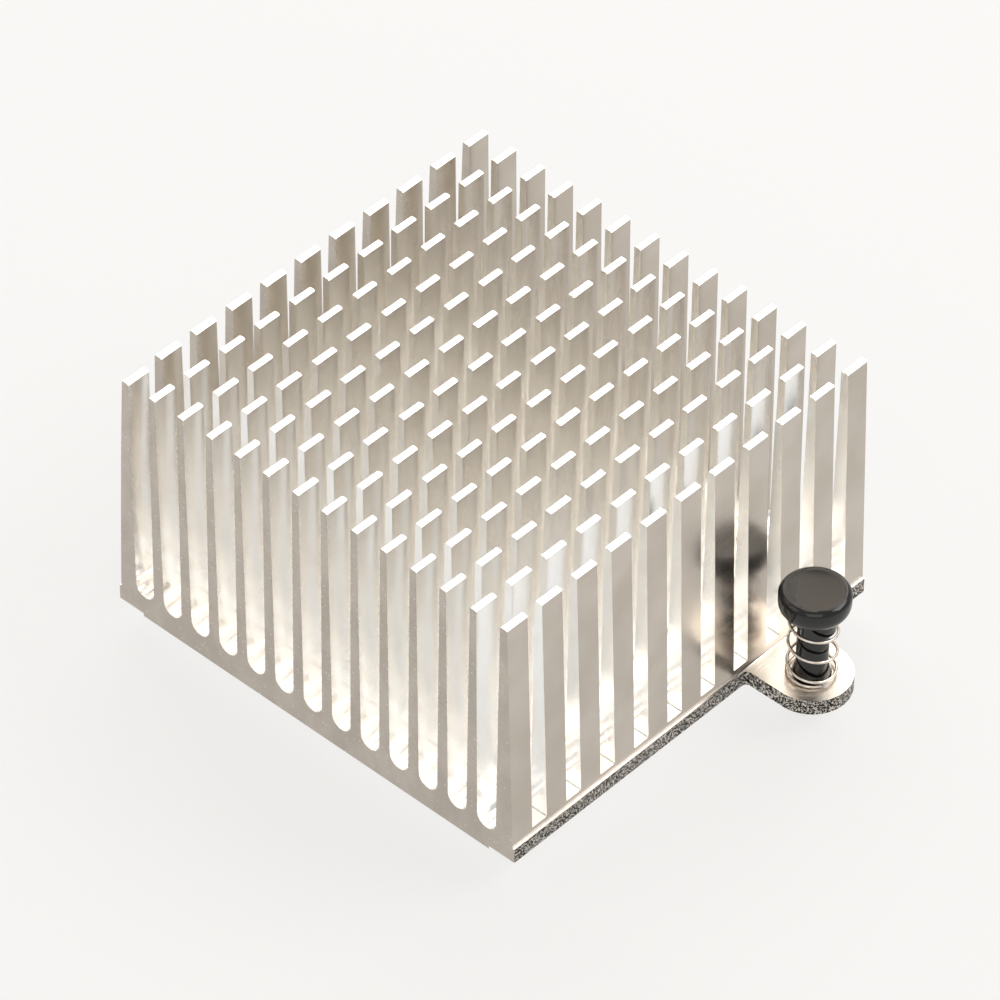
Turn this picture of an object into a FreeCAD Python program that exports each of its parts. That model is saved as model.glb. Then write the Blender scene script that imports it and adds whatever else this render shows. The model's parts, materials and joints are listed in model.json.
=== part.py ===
"""Pin-fin heat sink held down by two sprung push pins.

An aluminium extrusion with fourteen fins is sawn across into flat pins. Its flange is milled
away apart from two ears on opposite sides, and a plastic push pin with a coil spring stands in
each ear. Millimetres, +Z up, origin in the middle of the pad that touches the cooled chip,
+X along the extrusion. The second ear, push pin and spring are the first ones turned half a
turn about Z.
"""

import FreeCAD, Part
import math
import os
from FreeCAD import Vector

# Fins of the extrusion, side by side along Y
FIN_COUNT = 14
FIN_PITCH = 3.2
FIN_TIP_THICKNESS = 0.70
FIN_DRAFT_DEG = 0.6
FIN_TIP_CHAMFER = 0.12
OUTER_FIN_TIP_THICKNESS = 0.75
OUTER_FIN_LEAN_DEG = 2.05
HEIGHT = 25.4
VALLEY_FLOOR_Z = 2.27
VALLEY_STEPS = 6

# Saw cuts across the fins, side by side along X
PINS_ALONG = 11
PIN_LENGTH = 2.33
SAW_KERF = 1.715
SAW_FLOOR_ABOVE_VALLEY = 0.18

# Base: a raised pad in the middle and a thinner flange at both sides
PAD_INSET = 2.75
PAD_STEP = 0.3
FLANGE_THICKNESS = 1.5
FLANGE_STUB = 0.2
FOOT_FILLET = 0.18

# Ear on the flange, with the hole for its push pin
EAR_CENTRE_X = 10.1
EAR_REACH = 3.95
EAR_RADIUS = 3.55
EAR_ROOT_FILLET = 0.5
EAR_HOLE_CLEARANCE = 0.08

# Push pin: dished round head on a shank, with a side lobe under the head
PIN_HEAD_ABOVE_EAR = 9.25
PIN_HEAD_DIAMETER = 6.08
PIN_HEAD_SIDE = 1.2
PIN_HEAD_CHAMFER = 0.34
PIN_HEAD_UNDER_ROUND = 1.25
PIN_HEAD_UNDER_STEPS = 2
PIN_DISH_DIAMETER = 4.9
PIN_DISH_DEPTH = 0.15
PIN_SHANK_DIAMETER = 2.71
PIN_LOBE_DIAMETER = 3.0
PIN_LOBE_OFFSET = 0.36
PIN_LOBE_ANGLE_DEG = -47.5
PIN_LOBE_LENGTH = 1.75

# Push pin: split leg with two barbs that catch under the ear
PIN_LEG_DIAMETER = 3.2
PIN_LEG_ABOVE_EAR = 0.55
PIN_LEG_TAPER = 0.7
PIN_SLOT_WIDTH = 0.8
PIN_SLOT_DEPTH_IN_EAR = 1.0
BARB_DIAMETER = 4.2
BARB_CLEARANCE = 0.05
BARB_LAND = 0.35
BARB_LENGTH = 2.4
BARB_TIP_DIAMETER = 2.0
BARB_FLATS = 3.0

# Coil spring between the ear and the head, left-hand wound
WIRE_DIAMETER = 0.27
WIRE_SIDES = 6
SPRING_CLEARANCE = 0.05
SPRING_CLOSED_TURNS = 1.0
SPRING_CLOSED_PITCH = 0.40
SPRING_OPEN_TURNS = 2.68
SPRING_START_DEG = -115.5
SPRING_SEAT_GAP = 0.03

# Sizes that follow from the ones above
LENGTH = PINS_ALONG * PIN_LENGTH + (PINS_ALONG - 1) * SAW_KERF
DRAFT = math.radians(FIN_DRAFT_DEG)
OUTER_LEAN = math.radians(OUTER_FIN_LEAN_DEG)
FLANGE_TOP = PAD_STEP + FLANGE_THICKNESS
OUTER_FIN_Y = (FIN_COUNT - 1) / 2 * FIN_PITCH
OUTER_TIP_Y = OUTER_FIN_Y - FIN_TIP_THICKNESS / 2 + OUTER_FIN_TIP_THICKNESS
OUTER_FOOT_Y = OUTER_TIP_Y + (HEIGHT - FLANGE_TOP) * math.tan(OUTER_LEAN)
FLANGE_Y = OUTER_FOOT_Y + FLANGE_STUB
EAR_CENTRE = Vector(EAR_CENTRE_X, -FLANGE_Y - EAR_REACH, 0)
EAR_HOLE_RADIUS = PIN_LEG_DIAMETER / 2 + EAR_HOLE_CLEARANCE
HEAD_TOP = FLANGE_TOP + PIN_HEAD_ABOVE_EAR
HEAD_UNDERSIDE = HEAD_TOP - PIN_HEAD_SIDE - PIN_HEAD_UNDER_ROUND
BARB_TOP = PAD_STEP - BARB_CLEARANCE
COIL_RADIUS = PIN_LOBE_OFFSET + PIN_LOBE_DIAMETER / 2 + SPRING_CLEARANCE + WIRE_DIAMETER / 2

# Turns about Z that take the first ear, push pin and spring to each side's own
SIDES = {"a": 0.0, "b": 180.0}


def rounded_wire(corners, place):
    """Closed outline through corners (u, v, radius), each rounded by a tangent arc of its radius.

    place turns (u, v) into a point in space. Arcs that meet leave no straight between them.
    """
    spans = []
    for i, (u, v, radius) in enumerate(corners):
        here = Vector(u, v, 0)
        before = Vector(*corners[i - 1][:2], 0) - here
        after = Vector(*corners[(i + 1) % len(corners)][:2], 0) - here
        before.normalize()
        after.normalize()
        if radius == 0:
            spans.append((here, None, here))
            continue
        half = before.getAngle(after) / 2
        middle = (before + after).normalize()
        apex = here + middle * (radius / math.sin(half) - radius)
        run = radius / math.tan(half)
        spans.append((here + before * run, apex, here + after * run))

    edges = []
    for i, (start, apex, end) in enumerate(spans):
        following = spans[(i + 1) % len(spans)][0]
        if apex is not None:
            edges.append(Part.Arc(place(start), place(apex), place(end)).toShape())
        if (following - end).Length > 1e-6:
            edges.append(Part.LineSegment(place(end), place(following)).toShape())
    return Part.Wire(Part.__sortEdges__(edges))


def chords(u, v, radius, start_deg, end_deg, steps):
    """Corners along an arc about (u, v), for a round that is made of a few straight steps."""
    angles = [math.radians(start_deg + (end_deg - start_deg) * i / steps) for i in range(steps + 1)]
    return [(u + radius * math.cos(a), v + radius * math.sin(a), 0) for a in angles]


def across(point):
    """A point of the extrusion's cross-section, in the plane of its first end."""
    return Vector(-LENGTH / 2, point.x, point.y)


def in_plan(point):
    """A point of an outline drawn on the flange's underside."""
    return Vector(point.x, point.y, PAD_STEP)


def in_elevation(point):
    """A point of a turned part's half section."""
    return Vector(point.x, 0, point.y)


def base_corners():
    """Underside of the section from left to right: flange, raised pad and flange."""
    pad_y = FLANGE_Y - PAD_INSET
    left = [(-FLANGE_Y, PAD_STEP, 0), (-pad_y, PAD_STEP, 0), (-pad_y, 0, 0)]
    right = [(-y, z, radius) for y, z, radius in reversed(left)]
    return left + right


def fin_corners():
    """Top of the section from right to left: flange, outer fin, valleys and fins, outer fin, flange."""
    valley_half = (FIN_PITCH - FIN_TIP_THICKNESS) / 2 - (HEIGHT - VALLEY_FLOOR_Z) * math.tan(DRAFT)
    valley_round = valley_half / math.tan(math.pi / 4 - DRAFT / 2)
    valley_z = VALLEY_FLOOR_Z + valley_round
    tip_half = FIN_TIP_THICKNESS / 2

    def tip_edge(y, side, lean):
        """Chamfer at one edge of a fin's tip, from the flank that leans to the tip's flat."""
        flank = (y + side * FIN_TIP_CHAMFER * math.tan(lean), HEIGHT - FIN_TIP_CHAMFER, 0)
        return [flank, (y - side * FIN_TIP_CHAMFER, HEIGHT, 0)][::side]

    corners = [(FLANGE_Y, FLANGE_TOP, 0), (OUTER_FOOT_Y, FLANGE_TOP, FOOT_FILLET)]
    corners += tip_edge(OUTER_TIP_Y, 1, OUTER_LEAN)
    for i in range(FIN_COUNT - 1):
        fin_y = OUTER_FIN_Y - i * FIN_PITCH
        corners += tip_edge(fin_y - tip_half, -1, DRAFT)
        corners += chords(
            fin_y - FIN_PITCH / 2, valley_z, valley_round, -FIN_DRAFT_DEG, FIN_DRAFT_DEG - 180, VALLEY_STEPS
        )
        corners += tip_edge(fin_y - FIN_PITCH + tip_half, 1, DRAFT)
    corners += tip_edge(-OUTER_TIP_Y, -1, OUTER_LEAN)
    return corners + [(-OUTER_FOOT_Y, FLANGE_TOP, FOOT_FILLET), (-FLANGE_Y, FLANGE_TOP, 0)]


def saw_cuts():
    """Slabs that the saw takes out of the fins, leaving a row of pins at each fin."""
    floor = VALLEY_FLOOR_Z + SAW_FLOOR_ABOVE_VALLEY
    cuts = []
    for i in range(PINS_ALONG - 1):
        x = -LENGTH / 2 + PIN_LENGTH + i * (PIN_LENGTH + SAW_KERF)
        cuts.append(Part.makeBox(SAW_KERF, 2 * FLANGE_Y, HEIGHT, Vector(x, -FLANGE_Y, floor)))
    return cuts


def ear():
    """Ear left standing out of the flange, with a round end and small rounds at its root."""
    x, y = EAR_CENTRE.x, EAR_CENTRE.y
    reach = EAR_RADIUS + 2 * EAR_ROOT_FILLET
    inside = -FLANGE_Y + FLANGE_STUB
    corners = [
        (x - reach, inside, 0),
        (x - reach, -FLANGE_Y, 0),
        (x - EAR_RADIUS, -FLANGE_Y, EAR_ROOT_FILLET),
        (x - EAR_RADIUS, y - EAR_RADIUS, EAR_RADIUS),
        (x + EAR_RADIUS, y - EAR_RADIUS, EAR_RADIUS),
        (x + EAR_RADIUS, -FLANGE_Y, EAR_ROOT_FILLET),
        (x + reach, -FLANGE_Y, 0),
        (x + reach, inside, 0),
    ]
    return Part.Face(rounded_wire(corners, in_plan)).extrude(Vector(0, 0, FLANGE_THICKNESS))


def turned(shape, degrees):
    """A copy of a shape turned about Z."""
    copy = shape.copy()
    copy.rotate(Vector(0, 0, 0), Vector(0, 0, 1), degrees)
    return copy


def heat_sink():
    """Extrusion with its saw cuts, ears and ear holes."""
    section = Part.Face(rounded_wire(base_corners() + fin_corners(), across))
    body = section.extrude(Vector(LENGTH, 0, 0)).cut(saw_cuts())
    body = body.fuse([turned(ear(), angle) for angle in SIDES.values()]).removeSplitter()
    hole = Part.makeCylinder(EAR_HOLE_RADIUS, HEIGHT, EAR_CENTRE - Vector(0, 0, HEIGHT / 2))
    return body.cut([turned(hole, angle) for angle in SIDES.values()])


def pin_turning():
    """Everything of the push pin that is turned about its own axis, with the dish in its head."""
    head, shank, leg = PIN_HEAD_DIAMETER / 2, PIN_SHANK_DIAMETER / 2, PIN_LEG_DIAMETER / 2
    round_u, round_v = head - PIN_HEAD_UNDER_ROUND, HEAD_TOP - PIN_HEAD_SIDE
    leg_top = FLANGE_TOP + PIN_LEG_ABOVE_EAR
    tip_z = BARB_TOP - BARB_LENGTH
    corners = [
        (0, HEAD_TOP - PIN_DISH_DEPTH, 0),
        (PIN_DISH_DIAMETER / 2, HEAD_TOP, 0),
        (head - PIN_HEAD_CHAMFER, HEAD_TOP, 0),
        (head, HEAD_TOP - PIN_HEAD_CHAMFER, 0),
    ]
    corners += chords(round_u, round_v, PIN_HEAD_UNDER_ROUND, 0, -90, PIN_HEAD_UNDER_STEPS)
    corners += [
        (shank, HEAD_UNDERSIDE, 0),
        (shank, leg_top + PIN_LEG_TAPER, 0),
        (leg, leg_top, 0),
        (leg, BARB_TOP, 0),
        (BARB_DIAMETER / 2, BARB_TOP, 0),
        (BARB_DIAMETER / 2, BARB_TOP - BARB_LAND, 0),
        (BARB_TIP_DIAMETER / 2, tip_z, 0),
        (0, tip_z, 0),
    ]
    face = Part.Face(rounded_wire(corners, in_elevation))
    return face.revolve(Vector(0, 0, 0), Vector(0, 0, 1), 360)


def pin_lobe():
    """Round lobe that stands out of one side of the shank, close under the head."""
    angle = math.radians(PIN_LOBE_ANGLE_DEG)
    foot = Vector(math.cos(angle), math.sin(angle), 0) * PIN_LOBE_OFFSET
    foot.z = HEAD_UNDERSIDE - PIN_LOBE_LENGTH
    return Part.makeCylinder(PIN_LOBE_DIAMETER / 2, PIN_LOBE_LENGTH, foot)


def pin_slot():
    """Slot with a round end that splits the leg into two prongs."""
    top = FLANGE_TOP - PIN_SLOT_DEPTH_IN_EAR
    low = BARB_TOP - BARB_LENGTH - PIN_SLOT_WIDTH
    side = BARB_DIAMETER
    box = Part.makeBox(PIN_SLOT_WIDTH, side, top - low, Vector(-PIN_SLOT_WIDTH / 2, -side / 2, low))
    end = Part.makeCylinder(PIN_SLOT_WIDTH / 2, side, Vector(0, -side / 2, top), Vector(0, 1, 0))
    return box.fuse(end)


def pin_flats():
    """Two blocks that trim the barbs flat beside the slot, so only the prongs' outsides catch."""
    height = BARB_LENGTH + PIN_SLOT_WIDTH
    blocks = []
    for y in (BARB_FLATS / 2, -BARB_FLATS / 2 - BARB_DIAMETER):
        corner = Vector(-BARB_DIAMETER, y, BARB_TOP - height)
        blocks.append(Part.makeBox(2 * BARB_DIAMETER, BARB_DIAMETER, height, corner))
    return blocks


def push_pin():
    """Push pin of the first ear, made about the Z axis and moved to the ear's hole."""
    pin = pin_turning().fuse(pin_lobe())
    pin = pin.cut([pin_slot()] + pin_flats()).removeSplitter()
    pin.translate(EAR_CENTRE)
    return pin


def wire_section(centre, along):
    """Section of the spring wire: a regular outline of WIRE_SIDES sides with the round wire's area."""
    step = 2 * math.pi / WIRE_SIDES
    radius = WIRE_DIAMETER / 2 * math.sqrt(step / math.sin(step))
    out = Vector(0, 0, 1).cross(along).normalize()
    up = along.cross(out).normalize()
    turns = [step * (i + 0.5) for i in range(WIRE_SIDES)]
    points = [centre + out * (radius * math.cos(t)) + up * (radius * math.sin(t)) for t in turns]
    return Part.makePolygon(points + points[:1])


def spring():
    """Coil spring of the first ear: a closed turn on the ear, then open turns up to the head."""
    wire = WIRE_DIAMETER / 2
    from_round = COIL_RADIUS - PIN_HEAD_DIAMETER / 2 + PIN_HEAD_UNDER_ROUND
    seat = HEAD_UNDERSIDE + PIN_HEAD_UNDER_ROUND - math.sqrt(PIN_HEAD_UNDER_ROUND**2 - from_round**2)
    low = FLANGE_TOP + wire + SPRING_SEAT_GAP
    closed_height = SPRING_CLOSED_TURNS * SPRING_CLOSED_PITCH
    open_height = seat - wire - SPRING_SEAT_GAP - low - closed_height

    closed = Part.makeHelix(SPRING_CLOSED_PITCH, closed_height, COIL_RADIUS, 0, True)
    opened = Part.makeHelix(open_height / SPRING_OPEN_TURNS, open_height, COIL_RADIUS, 0, True)
    opened.rotate(Vector(0, 0, 0), Vector(0, 0, 1), -360 * SPRING_CLOSED_TURNS)
    opened.translate(Vector(0, 0, closed_height))
    path = Part.Wire(closed.Edges + opened.Edges)
    start = path.OrderedEdges[0]
    section = wire_section(path.OrderedVertexes[0].Point, start.tangentAt(start.FirstParameter))
    coiled = path.makePipeShell([section], True, True)
    coiled.translate(Vector(0, 0, low))
    coiled.rotate(Vector(0, 0, 0), Vector(0, 0, 1), SPRING_START_DEG)
    coiled.translate(EAR_CENTRE)
    return coiled


def main():
    """Write one STEP file for each piece."""
    os.makedirs("parts", exist_ok=True)
    heat_sink().exportStep("parts/heat_sink.step")
    for side, angle in SIDES.items():
        turned(push_pin(), angle).exportStep(f"parts/push_pin_{side}.step")
        turned(spring(), angle).exportStep(f"parts/spring_{side}.step")


main()
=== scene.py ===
"""Looks of a pin-fin heat sink that two sprung push pins hold down.

The aluminium is an extrusion sawn across into flat pins, so it shows three surfaces: extruded,
sawn and milled. Each push pin is moulded black nylon inside a coil spring of plated steel wire.
Sizes are in millimetres until a mesh is made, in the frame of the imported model: +Z up, origin in
the middle of the pad that touches the cooled chip, +X along the extrusion.
"""

import json
import logging
import math
from dataclasses import dataclass, field, replace
from enum import Enum
from random import Random

import bmesh
import bpy
from mathutils import Matrix, Vector

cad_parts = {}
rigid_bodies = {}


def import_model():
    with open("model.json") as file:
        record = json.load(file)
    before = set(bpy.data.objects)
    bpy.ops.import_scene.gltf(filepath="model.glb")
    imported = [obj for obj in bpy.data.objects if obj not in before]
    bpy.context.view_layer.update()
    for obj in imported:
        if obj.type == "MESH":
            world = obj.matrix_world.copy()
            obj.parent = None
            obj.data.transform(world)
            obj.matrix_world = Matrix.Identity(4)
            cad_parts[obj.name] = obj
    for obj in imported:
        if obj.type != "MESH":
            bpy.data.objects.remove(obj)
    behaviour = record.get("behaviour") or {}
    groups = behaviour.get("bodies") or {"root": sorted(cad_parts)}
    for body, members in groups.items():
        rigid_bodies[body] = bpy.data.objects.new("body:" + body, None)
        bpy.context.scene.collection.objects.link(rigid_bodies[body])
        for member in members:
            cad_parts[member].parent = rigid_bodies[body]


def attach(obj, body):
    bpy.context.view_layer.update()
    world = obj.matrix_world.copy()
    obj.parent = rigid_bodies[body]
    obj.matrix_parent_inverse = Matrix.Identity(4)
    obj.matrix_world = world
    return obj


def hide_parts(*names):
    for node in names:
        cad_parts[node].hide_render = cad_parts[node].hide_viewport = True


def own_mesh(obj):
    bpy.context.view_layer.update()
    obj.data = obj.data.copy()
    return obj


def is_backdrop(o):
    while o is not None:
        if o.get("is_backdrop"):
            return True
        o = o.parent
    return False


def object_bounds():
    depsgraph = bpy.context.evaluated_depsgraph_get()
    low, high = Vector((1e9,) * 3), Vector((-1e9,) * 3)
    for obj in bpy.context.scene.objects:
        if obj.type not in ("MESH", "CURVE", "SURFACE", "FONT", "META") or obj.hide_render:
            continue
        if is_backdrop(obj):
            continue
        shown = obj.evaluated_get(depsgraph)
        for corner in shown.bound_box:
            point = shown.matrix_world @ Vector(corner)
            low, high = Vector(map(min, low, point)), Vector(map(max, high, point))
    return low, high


MM = 0.001
NEAR = 0.001  # Places closer than this, in millimetres, count as the same.
WIDE, NARROW = (0.3, 0.7), (0.35, 0.65)  # Stretches of a noise's values that take it from end to end.
EAR_AXIS, EAR_TOP = (10.1, -26.195), 1.8  # Where the first ear holds its push pin and spring.
LOG = logging.getLogger("heat_sink")
Tree, Socket = bpy.types.NodeTree, bpy.types.NodeSocket


class Side(Enum):
    """The two push pins. The value is the half turns about Z that take the first one there."""

    A = 0
    B = 1

    @property
    def letter(self) -> str:
        """Letter that ends the names of this side's nodes, body and joint."""
        return self.name.lower()

    @property
    def turn(self) -> Matrix:
        """The turn about Z from the first push pin to this one."""
        return Matrix.Rotation(math.pi * self.value, 4, "Z")


def linear(colour: str) -> tuple[float, float, float, float]:
    """Turns a written colour into the one that a shader takes.

    Args:
        colour: sRGB hex value, such as "#c8c0b4".

    Returns:
        Linear red, green, blue and an alpha of one.
    """
    parts = [int(colour[i : i + 2], 16) / 255 for i in (1, 3, 5)]
    lin = [c / 12.92 if c <= 0.04045 else ((c + 0.055) / 1.055) ** 2.4 for c in parts]
    return (*lin, 1.0)


def add(tree: Tree, kind: str, inputs: dict | None = None, **settings) -> bpy.types.Node:
    """Adds one node with its settings and links.

    Args:
        tree: The node tree that gets the node.
        kind: The node's type.
        inputs: Input sockets by name or number, each with a value or the output that feeds it.
        **settings: The node's own properties.

    Returns:
        The new node.
    """
    node = tree.nodes.new(kind)
    for name, value in settings.items():
        setattr(node, name, value)
    for key, value in (inputs or {}).items():
        if isinstance(value, Socket):
            tree.links.new(value, node.inputs[key])
        else:
            node.inputs[key].default_value = value
    return node


def blank_material(name: str) -> tuple[bpy.types.Material, Tree, Socket]:
    """Makes a material with an empty node tree that reads Object coordinates.

    Args:
        name: The finish's name.

    Returns:
        The material, its tree and the socket with the surface's place in metres.
    """
    material = bpy.data.materials.new(name)
    material.use_nodes = True
    tree = material.node_tree
    tree.nodes.clear()
    place = add(tree, "ShaderNodeTexCoord").outputs["Object"]
    return material, tree, place


def stretch(value: Socket, low: float, high: float, first: float = 0.0, last: float = 1.0) -> dict:
    """Says which stretch of a pattern runs over which range, as a Map Range node takes it.

    Args:
        value: The pattern.
        low: Pattern value that becomes the first result.
        high: Pattern value that becomes the last result.
        first: First result.
        last: Last result.

    Returns:
        The node's inputs.
    """
    return {"Value": value, "From Min": low, "From Max": high, "To Min": first, "To Max": last}


@dataclass(frozen=True)
class Noise:
    """Cloudy pattern around one half. Its grain is one size, or three for X, Y and Z."""

    grain: float | tuple[float, float, float]
    detail: float = 2.0
    turn_deg: tuple[float, float, float] = (0, 0, 0)

    def value(self, tree: Tree, place: Socket) -> Socket:
        """Adds the pattern's nodes.

        Args:
            tree: The material's tree.
            place: Object coordinates.

        Returns:
            The pattern's value.
        """
        grain = self.grain if isinstance(self.grain, tuple) else 3 * (self.grain,)
        scale = [1 / (size * MM) for size in grain]
        turn = [math.radians(angle) for angle in self.turn_deg]
        turned = add(tree, "ShaderNodeMapping", {"Vector": place, "Rotation": turn}, vector_type="TEXTURE")
        sized = add(tree, "ShaderNodeMapping", {"Vector": turned.outputs[0], "Scale": scale})
        inputs = {"Vector": sized.outputs[0], "Scale": 1.0, "Detail": self.detail}
        return add(tree, "ShaderNodeTexNoise", inputs).outputs[0]


@dataclass(frozen=True)
class Cells:
    """Pattern of dents around scattered points, by the distance to the nearest one."""

    spacing: float

    def value(self, tree: Tree, place: Socket) -> Socket:
        """Adds the pattern's nodes.

        Args:
            tree: The material's tree.
            place: Object coordinates.

        Returns:
            The pattern's value.
        """
        inputs = {"Vector": place, "Scale": 1 / (self.spacing * MM)}
        return add(tree, "ShaderNodeTexVoronoi", inputs).outputs["Distance"]


@dataclass(frozen=True)
class Specks(Cells):
    """Small round specks. Reach is a share of their spacing, and core is the solid share of it."""

    colour: str
    reach: float
    core: float
    strength: float = 1.0

    def value(self, tree: Tree, place: Socket) -> Socket:
        """Adds the pattern's nodes.

        Args:
            tree: The material's tree.
            place: Object coordinates.

        Returns:
            The strength inside the specks and zero between them.
        """
        distance = super().value(tree, place)
        fade = stretch(distance, self.reach * self.core, self.reach, self.strength, 0)
        return add(tree, "ShaderNodeMapRange", fade).outputs[0]


def bent_normal(tree: Tree, layers: list[tuple[Socket, float]]) -> Socket:
    """Stacks height patterns on the surface's normal.

    Args:
        tree: The material's tree.
        layers: Patterns, each with its height in millimetres.

    Returns:
        The bent normal.
    """
    normal = None
    for height, depth in layers:
        inputs = {"Height": height, "Distance": depth * MM, "Strength": 1.0}
        if normal is not None:
            inputs["Normal"] = normal
        normal = add(tree, "ShaderNodeBump", inputs).outputs[0]
    return normal


@dataclass(frozen=True)
class Finish:
    """A surface's look: one pattern runs from colour to shade, and one through the roughness.

    The relief is patterns with their heights. Sizes are in millimetres.
    """

    name: str
    colour: str
    shade: str
    roughness: tuple[float, float]
    tone: Noise
    gloss: Noise
    relief: tuple[tuple[Noise | Cells, float], ...]
    tone_span: tuple[float, float] = NARROW
    gloss_span: tuple[float, float] = WIDE
    specks: Specks | None = None
    metallic: float = 1.0
    ior: float = 1.5

    def make(self) -> bpy.types.Material:
        """Builds the material.

        Returns:
            The material.
        """
        material, tree, place = blank_material(self.name)
        patterns = [self.tone, self.gloss] + [pattern for pattern, _ in self.relief]
        patterns += [self.specks] if self.specks else []
        made = {pattern: pattern.value(tree, place) for pattern in dict.fromkeys(patterns)}
        share = add(tree, "ShaderNodeMapRange", stretch(made[self.tone], *self.tone_span)).outputs[0]
        tones = {0: share, 6: linear(self.colour), 7: linear(self.shade)}
        colour = add(tree, "ShaderNodeMix", tones, data_type="RGBA").outputs[2]
        if self.specks:
            tones = {0: made[self.specks], 6: colour, 7: linear(self.specks.colour)}
            colour = add(tree, "ShaderNodeMix", tones, data_type="RGBA").outputs[2]
        span = stretch(made[self.gloss], *self.gloss_span, *self.roughness)
        shader = add(tree, "ShaderNodeBsdfPrincipled", {
            "Base Color": colour,
            "Metallic": self.metallic,
            "Roughness": add(tree, "ShaderNodeMapRange", span).outputs[0],
            "IOR": self.ior,
            "Normal": bent_normal(tree, [(made[pattern], depth) for pattern, depth in self.relief]),
        })
        add(tree, "ShaderNodeOutputMaterial", {"Surface": shader.outputs[0]})
        return material


# Bare aluminium as it leaves the die: a satin mirror. Lines along the extrusion draw its
# reflections out, and wide clouds keep them from one flat tone.
DIE_LINES = Noise(grain=(30.0, 0.22, 0.22), detail=3)
EXTRUDED = Finish(
    name="extruded aluminium", colour="#fefefd", shade="#fdfbf9", roughness=(0.15, 0.20),
    tone=Noise(6.0), gloss=DIE_LINES, relief=((DIE_LINES, 0.0003),),
)

# Aluminium cut by a circular saw: duller, with the saw's path in fine slanted marks, and burrs as small
# bumps whose pale colour is a painted highlight.
SAW_MARKS = Noise(grain=(6.0, 6.0, 0.30), detail=3, turn_deg=(14.0, 0, 0))
BURRS_AND_PAINTED_GLINTS = Specks(spacing=0.55, colour="#fffdf8", reach=0.11, core=0.6)
SAWN = Finish(
    name="sawn aluminium", colour="#fdfdfb", shade="#f8f6f3", roughness=(0.18, 0.25),
    tone=Noise((2.5, 2.5, 4.0)), gloss=SAW_MARKS, relief=((SAW_MARKS, 0.0002), (BURRS_AND_PAINTED_GLINTS, 0.01)), specks=BURRS_AND_PAINTED_GLINTS,
)

# Aluminium torn by a coarse cutter: each rough grain tilts its own way. Its tone runs from a bright colour to
# a nearly black shade, painted glints and painted shade for the light each tilt catches, over real dents and
# grains.
CHIPS_AND_PAINTED_GLINTS = Noise(grain=0.17, detail=4)
MILLED = Finish(
    name="milled aluminium", colour="#dad4ca", shade="#2b2623", roughness=(0.2, 0.5),
    tone=CHIPS_AND_PAINTED_GLINTS, tone_span=(0.42, 0.52), gloss=CHIPS_AND_PAINTED_GLINTS, gloss_span=NARROW,
    relief=((Cells(0.17), 0.09), (CHIPS_AND_PAINTED_GLINTS, 0.09)),
)

# Moulded black nylon: a dark gloss that mirrors the pins. Its skin bends the reflections a
# little, and specks of dust break the black.
SKIN, SKIN_GRAIN = Noise(1.6), Noise(grain=0.12, detail=3)
BLACK_NYLON = Finish(
    name="moulded black nylon", colour="#060606", shade="#0d0c0b", roughness=(0.03, 0.07),
    tone=SKIN, gloss=SKIN_GRAIN, gloss_span=NARROW, relief=((SKIN, 0.0015), (SKIN_GRAIN, 0.0002)),
    specks=Specks(spacing=0.9, colour="#8d877e", reach=0.04, core=0.5, strength=0.5), metallic=0.0, ior=1.53,
)

# Nickel-plated spring wire: a warm bright metal, whose drawing marks break the highlight that
# runs round each coil.
DRAWING_MARKS = Noise(grain=(0.5, 0.5, 0.06), detail=3)
SPRING_WIRE = Finish(
    name="plated spring wire", colour="#f0e7dd", shade="#cbbfb4", roughness=(0.16, 0.30),
    tone=DRAWING_MARKS, tone_span=(0.4, 0.7), gloss=DRAWING_MARKS, relief=((DRAWING_MARKS, 0.001),),
)


class Metal(Enum):
    """Surfaces of the aluminium piece. The value is each one's place among its materials."""

    EXTRUDED = 0
    SAWN = 1
    MILLED = 2
    OUTER_FLANK = 3
    OUTER_CUT = 4
    EAR_TOP = 5
    LAST_FIN = 6


# The outermost faces get darker copies of the aluminium, a painted shade that stands for the greyer floor
# they mirror: they mirror the room only once and would otherwise look as white as the floor, while the
# ones deep among the pins stay near white. The flange's top is scuffed, so it is blurrier but stays bright.
METAL_FINISHES = {
    Metal.EXTRUDED: EXTRUDED,
    Metal.SAWN: SAWN,
    Metal.MILLED: MILLED,
    # Darker copies with painted shade, for the outermost flanks and cut ends.
    Metal.OUTER_FLANK: replace(
        EXTRUDED, name="handled extruded aluminium", colour="#c8bfb5", shade="#bdb4a9", roughness=(0.18, 0.24)
    ),
    Metal.OUTER_CUT: replace(
        SAWN, name="handled sawn aluminium", colour="#c2b9af", shade="#b6ada3", roughness=(0.24, 0.32)
    ),
    Metal.EAR_TOP: replace(
        EXTRUDED, name="scuffed extruded aluminium", colour="#f6f1ea", shade="#e6dfd6",
        roughness=(0.26, 0.36), relief=((DIE_LINES, 0.001),),
    ),
    # A lighter copy with painted shade, for the inner flank of the last fin.
    Metal.LAST_FIN: replace(
        EXTRUDED, name="touched extruded aluminium", colour="#f1ece4", shade="#e9e3da", roughness=(0.18, 0.24)
    ),
}


def new_tree(name: str, sizes: dict[str, float | int]) -> tuple[Tree, bpy.types.Node]:
    """Starts a tree of geometry nodes with a geometry input, named sizes and a geometry output.

    Args:
        name: The tree's name.
        sizes: Input names with their values, whole numbers or lengths in metres.

    Returns:
        The tree and its input node.
    """
    tree = bpy.data.node_groups.new(name, "GeometryNodeTree")
    tree.interface.new_socket("Geometry", in_out="INPUT", socket_type="NodeSocketGeometry")
    tree.interface.new_socket("Geometry", in_out="OUTPUT", socket_type="NodeSocketGeometry")
    for label, value in sizes.items():
        kind = "NodeSocketInt" if isinstance(value, int) else "NodeSocketFloat"
        tree.interface.new_socket(label, in_out="INPUT", socket_type=kind)
    return tree, add(tree, "NodeGroupInput")


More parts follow.
